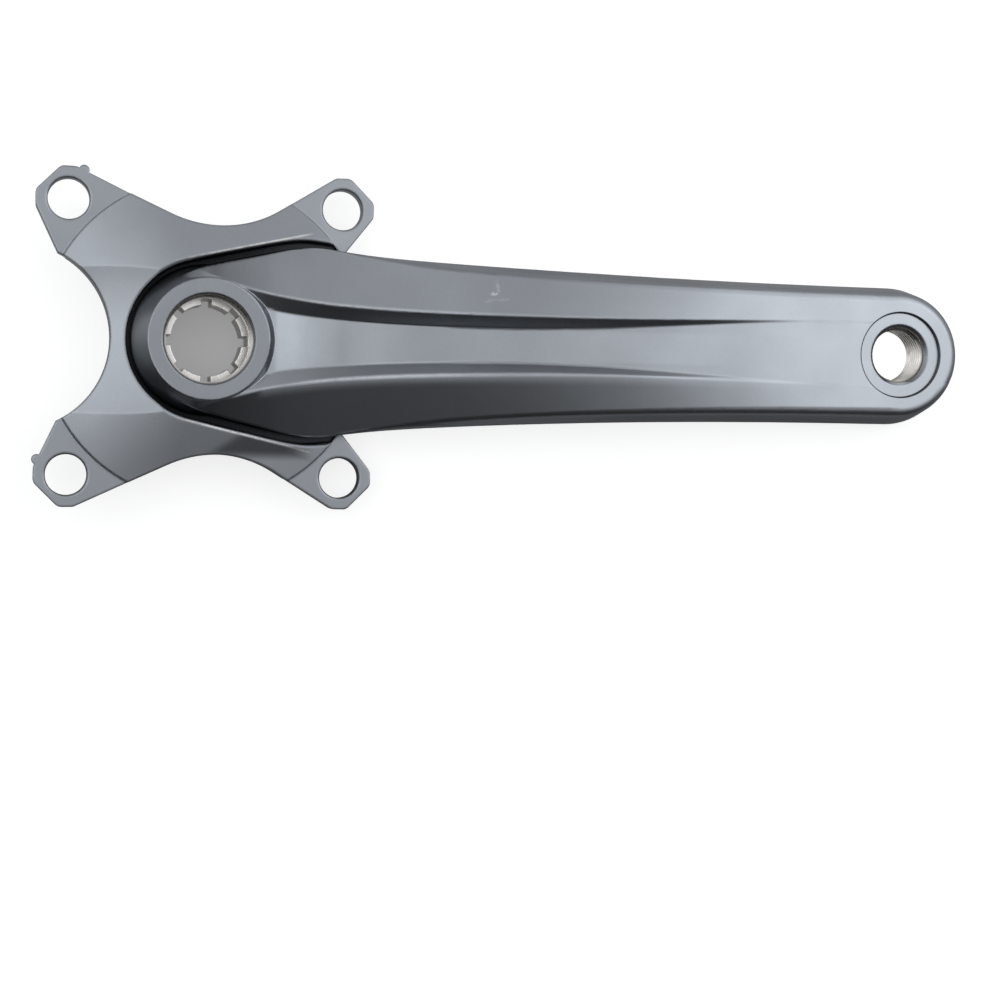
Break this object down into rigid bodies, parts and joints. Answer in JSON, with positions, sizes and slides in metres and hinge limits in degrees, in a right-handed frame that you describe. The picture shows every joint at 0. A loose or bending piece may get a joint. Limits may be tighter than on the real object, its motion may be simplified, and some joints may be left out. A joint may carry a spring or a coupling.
{
  "type": "bicycle crank arm",
  "caption": "Drive-side bicycle crank: a fluted, forged arm with a splined spindle socket, a threaded pedal eye and a pressed-on star spider that carries the chainrings.",
  "frame": {"origin": "on the spindle axis, in the plane of the hub's inner face, where the spindle enters", "axes": "+Z along the spindle axis to the outer side, +X from the spindle axis towards the pedal eye, so the part lies on its inner side"},
  "size_m": [0.2351, 0.0842, 0.038],
  "materials": {
    "arm_finish": "satin grey metallic paint on forged aluminium, bare metal in the bores",
    "spider_finish": "satin grey metallic paint on forged aluminium"
  },
  "bodies": {
    "root": {"crank_arm": "arm_finish", "spider": "spider_finish"}
  },
  "joints": []
}
